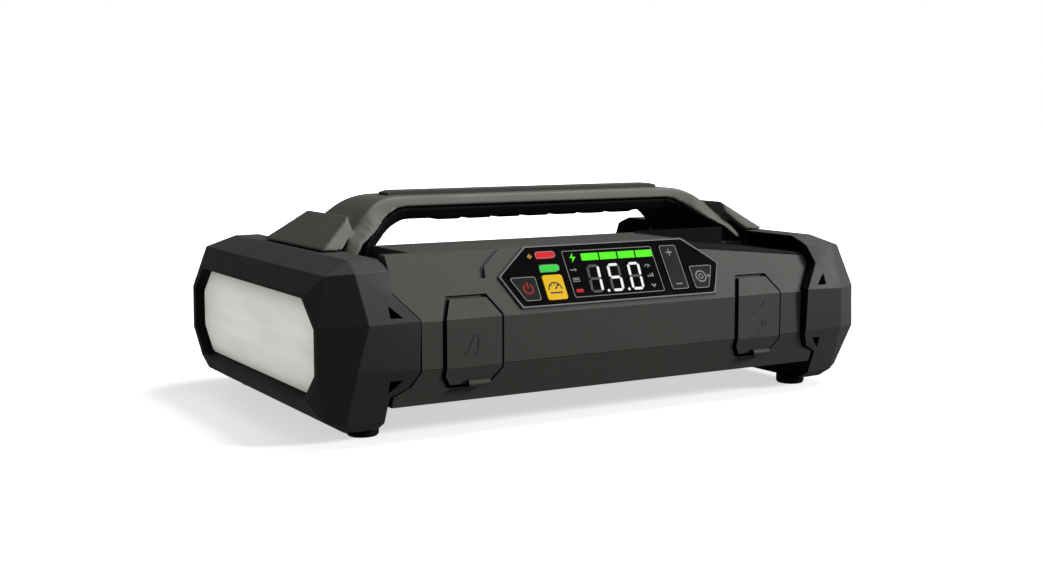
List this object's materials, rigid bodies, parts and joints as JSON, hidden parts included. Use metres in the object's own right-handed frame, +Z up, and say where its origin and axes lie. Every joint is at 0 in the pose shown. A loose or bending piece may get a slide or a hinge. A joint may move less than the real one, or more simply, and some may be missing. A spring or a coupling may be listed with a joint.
{
  "type": "jump starter pack",
  "caption": "Rugged jump starter pack with a carry handle, end lamp, bumpers, sloped display, port covers and an air pump inside.",
  "frame": {"origin": "centre of the footprint, on the plane the feet stand on", "axes": "+X along the length, away from the lamp end; +Z up; the display and the port flaps face -Y"},
  "size_m": [0.318, 0.2072, 0.1095],
  "materials": {
    "housing": "fine spark-eroded texture, dark warm grey",
    "bumper": "matt soft-touch over-moulding, charcoal",
    "handle": "fine matt texture, dark grey",
    "flap_rubber": "matt moulded rubber, dark grey",
    "black_rubber": "matt black rubber",
    "black_plastic": "matt black",
    "frosted_lens": "frosted white diffuser",
    "white_plastic": "satin white reflector",
    "gloss_window": "high gloss black",
    "key_black": "satin black",
    "key_yellow": "satin yellow",
    "lamp_red": "lit red light pipe",
    "lamp_green": "lit green light pipe",
    "board": "green solder mask",
    "steel": "zinc plated",
    "aluminium": "die cast",
    "brass": "turned",
    "cell_foil": "laminated pouch foil",
    "red_rubber": "red silicone cable jacket",
    "gear_plastic": "natural nylon"
  },
  "bodies": {
    "pack": {"upper_housing": "housing", "lower_housing": "housing", "left_bumper": "bumper", "right_bumper": "bumper", "handle_frame": "handle", "handle_grip": "black_rubber", "handle_top_pad": "flap_rubber", "deck_tray_liner": "black_rubber", "lamp_lens": "frosted_lens", "lamp_gasket": "black_rubber", "lamp_reflector": "white_plastic", "lamp_led_board": "white_plastic", "end_vent_cover": "black_plastic", "display_window": "gloss_window", "light_pipe_red": "lamp_red", "light_pipe_green": "lamp_green", "lcd_module": "black_plastic", "control_board": "board", "jump_socket": "black_plastic", "usb_port_frame": "black_plastic", "usb_a_socket": "steel", "usb_c_socket": "steel", "port_board": "board", "foot_front_left": "black_rubber", "foot_front_right": "black_rubber", "foot_rear_left": "black_rubber", "foot_rear_right": "black_rubber", "foot_screw_front_left": "steel", "foot_screw_front_right": "steel", "foot_screw_rear_left": "steel", "foot_screw_rear_right": "steel", "housing_screw_front_left": "steel", "housing_screw_front_right": "steel", "housing_screw_rear_left": "steel", "housing_screw_rear_right": "steel", "battery_cell_1": "cell_foil", "battery_cell_2": "cell_foil", "battery_cell_3": "cell_foil", "battery_cell_4": "cell_foil", "battery_tray": "black_plastic", "battery_board": "board", "jump_relay": "black_plastic", "positive_cable": "red_rubber", "negative_cable": "black_rubber", "pump_motor": "steel", "pump_frame": "aluminium", "cylinder_head": "aluminium", "air_outlet": "brass"},
    "jump_flap": {"jump_port_flap": "flap_rubber"},
    "usb_flap": {"usb_port_flap": "flap_rubber"},
    "power_button": {"power_key": "key_black"},
    "units_button": {"units_key": "key_yellow"},
    "adjust_rocker": {"adjust_key": "key_black"},
    "pump_button": {"pump_key": "key_black"},
    "crank": {"crank_gear": "gear_plastic"},
    "pinion": {"pump_pinion": "brass"},
    "piston": {"pump_piston": "aluminium"}
  },
  "joints": [
    {"name": "jump_flap_hinge", "type": "hinge", "parent": "pack", "child": "jump_flap", "pos_m": [-0.085, -0.0994, 0.0246], "axis": [1, 0, 0], "range_deg": [0, 105]},
    {"name": "usb_flap_hinge", "type": "hinge", "parent": "pack", "child": "usb_flap", "pos_m": [0.083, -0.0994, 0.0246], "axis": [1, 0, 0], "range_deg": [0, 105]},
    {"name": "power_press", "type": "slide", "parent": "pack", "child": "power_button", "axis": [0, 0.848, -0.5299], "range_m": [0, 0.0006]},
    {"name": "units_press", "type": "slide", "parent": "pack", "child": "units_button", "axis": [0, 0.848, -0.5299], "range_m": [0, 0.0006]},
    {"name": "pump_press", "type": "slide", "parent": "pack", "child": "pump_button", "axis": [0, 0.848, -0.5299], "range_m": [0, 0.0006]},
    {"name": "adjust_rock", "type": "hinge", "parent": "pack", "child": "adjust_rocker", "pos_m": [0.0351, -0.08932, 0.07047], "axis": [1, 0, 0], "range_deg": [-2, 2]},
    {"name": "crank_spin", "type": "hinge", "parent": "pack", "child": "crank", "pos_m": [0.0745, 0.04, 0.042], "axis": [1, 0, 0], "continuous": true},
    {"name": "pinion_spin", "type": "hinge", "parent": "pack", "child": "pinion", "pos_m": [0.0745, 0.064, 0.042], "axis": [1, 0, 0], "continuous": true},
    {"name": "piston_slide", "type": "slide", "parent": "pack", "child": "piston", "axis": [0, 1, 0], "range_m": [-0.0055, 0.0055]}
  ],
  "couplings": [
    {"joint": "pinion_spin", "follows": "crank_spin", "ratio": -4}
  ]
}
